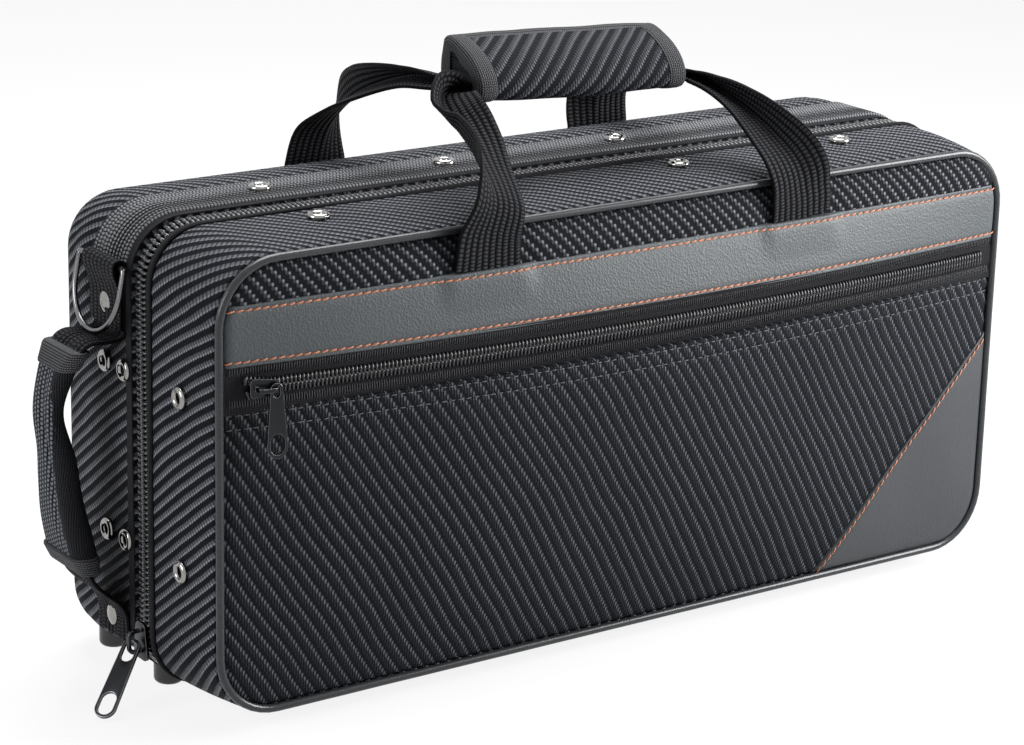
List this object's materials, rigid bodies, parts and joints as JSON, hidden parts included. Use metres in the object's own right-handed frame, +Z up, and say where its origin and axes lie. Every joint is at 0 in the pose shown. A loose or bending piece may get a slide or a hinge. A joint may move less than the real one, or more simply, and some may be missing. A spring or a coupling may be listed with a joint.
{
  "type": "soft-sided instrument case",
  "caption": "Soft-sided zipped case for a curved soprano saxophone: padded base and lid on a cloth hinge, with a bowed zip pocket, carrying straps in a wrap and an end handle.",
  "frame": {"origin": "middle of the whole case's box, on the surface that its feet stand on", "axes": "+X along the case to its right end seen from the front, +Y to the back, +Z up"},
  "size_m": [0.5348, 0.1812, 0.3108],
  "materials": {
    "shell_cloth": "black coated cloth with a twill look and fine grey stitches",
    "panel_cloth": "black coated cloth with a twill look over foam",
    "grained_vinyl": "dark grey fine-grained vinyl",
    "piping_vinyl": "dark grey smooth vinyl over cord",
    "black_webbing": "black ribbed polypropylene webbing",
    "zip_tape": "black woven zip tape",
    "zip_coil": "black nylon coil",
    "nickel": "bright nickel plate",
    "gunmetal": "dark nickel plate",
    "rubber_feet": "black moulded rubber",
    "plush": "black plush over foam",
    "padding": "black coated cloth over foam"
  },
  "bodies": {
    "base": {"base_shell": "shell_cloth", "base_zip_tape": "zip_tape", "base_zip_teeth": "zip_coil", "hinge_strip": "shell_cloth", "feet": "rubber_feet", "webbing_band": "black_webbing", "ring_tab_left": "black_webbing", "ring_tab_right": "black_webbing", "tab_rivets": "nickel", "top_rivets_base": "nickel", "end_rivets_base": "nickel", "back_strap_tabs": "black_webbing", "instrument_insert": "plush", "end_handle_strap": "black_webbing", "end_handle_grip": "padding", "end_handle_binding": "black_webbing"},
    "lid": {"lid_shell": "shell_cloth", "lid_zip_tape": "zip_tape", "lid_zip_teeth": "zip_coil", "piping": "piping_vinyl", "upper_panel": "panel_cloth", "trim_strip": "grained_vinyl", "pocket_zip_tape": "zip_tape", "pocket_zip_teeth": "zip_coil", "pocket_panel": "panel_cloth", "corner_patch": "grained_vinyl", "top_rivets_lid": "nickel", "end_rivets_lid": "nickel", "front_strap_tabs": "black_webbing", "lid_pad": "plush"},
    "front_handle": {"front_strap": "black_webbing", "handle_wrap": "padding", "wrap_binding": "black_webbing"},
    "back_handle": {"back_strap": "black_webbing"},
    "left_ring": {"ring_left": "gunmetal"},
    "right_ring": {"ring_right": "gunmetal"},
    "zip_slider": {"main_slider": "gunmetal"},
    "zip_pull": {"main_pull": "gunmetal"},
    "pocket_zip_slider": {"pocket_slider": "gunmetal"},
    "pocket_zip_pull": {"pocket_pull": "gunmetal"}
  },
  "joints": [
    {"name": "lid_hinge", "type": "hinge", "parent": "base", "child": "lid", "pos_m": [0.0111, -0.00202, 0.0058], "axis": [1, 0, 0], "range_deg": [0, 110], "deforming": ["hinge_strip"]},
    {"name": "front_handle_fold", "type": "hinge", "parent": "lid", "child": "front_handle", "pos_m": [0.0111, -0.07839, 0.213], "axis": [1, 0, 0], "range_deg": [0, 150], "deforming": ["handle_wrap", "wrap_binding"]},
    {"name": "back_handle_fold", "type": "hinge", "parent": "base", "child": "back_handle", "pos_m": [0.0111, 0.09028, 0.213], "axis": [-1, 0, 0], "range_deg": [0, 150]},
    {"name": "left_ring_swing", "type": "hinge", "parent": "base", "child": "left_ring", "pos_m": [-0.2366, 0.02548, 0.214], "axis": [0, 1, 0], "range_deg": [0, 150]},
    {"name": "right_ring_swing", "type": "hinge", "parent": "base", "child": "right_ring", "pos_m": [0.2588, 0.02548, 0.214], "axis": [0, -1, 0], "range_deg": [0, 150]},
    {"name": "zip_slider_travel", "type": "slide", "parent": "base", "child": "zip_slider", "axis": [0, 0, 1], "range_m": [0, 0.1335]},
    {"name": "zip_pull_swing", "type": "hinge", "parent": "zip_slider", "child": "zip_pull", "pos_m": [-0.2372, -0.00062, 0.0295], "axis": [-0.5446, 0.8387, 0], "range_deg": [-30, 90]},
    {"name": "pocket_slider_travel", "type": "hinge", "parent": "lid", "child": "pocket_zip_slider", "pos_m": [0.0111, 1.81011, 0.174], "axis": [0, 0, 1], "range_deg": [0, 13.27]},
    {"name": "pocket_pull_swing", "type": "hinge", "parent": "pocket_zip_slider", "child": "pocket_zip_pull", "pos_m": [-0.20425, -0.0795, 0.174], "axis": [0.1155, 0.9933, 0], "range_deg": [-90, 50]}
  ]
}
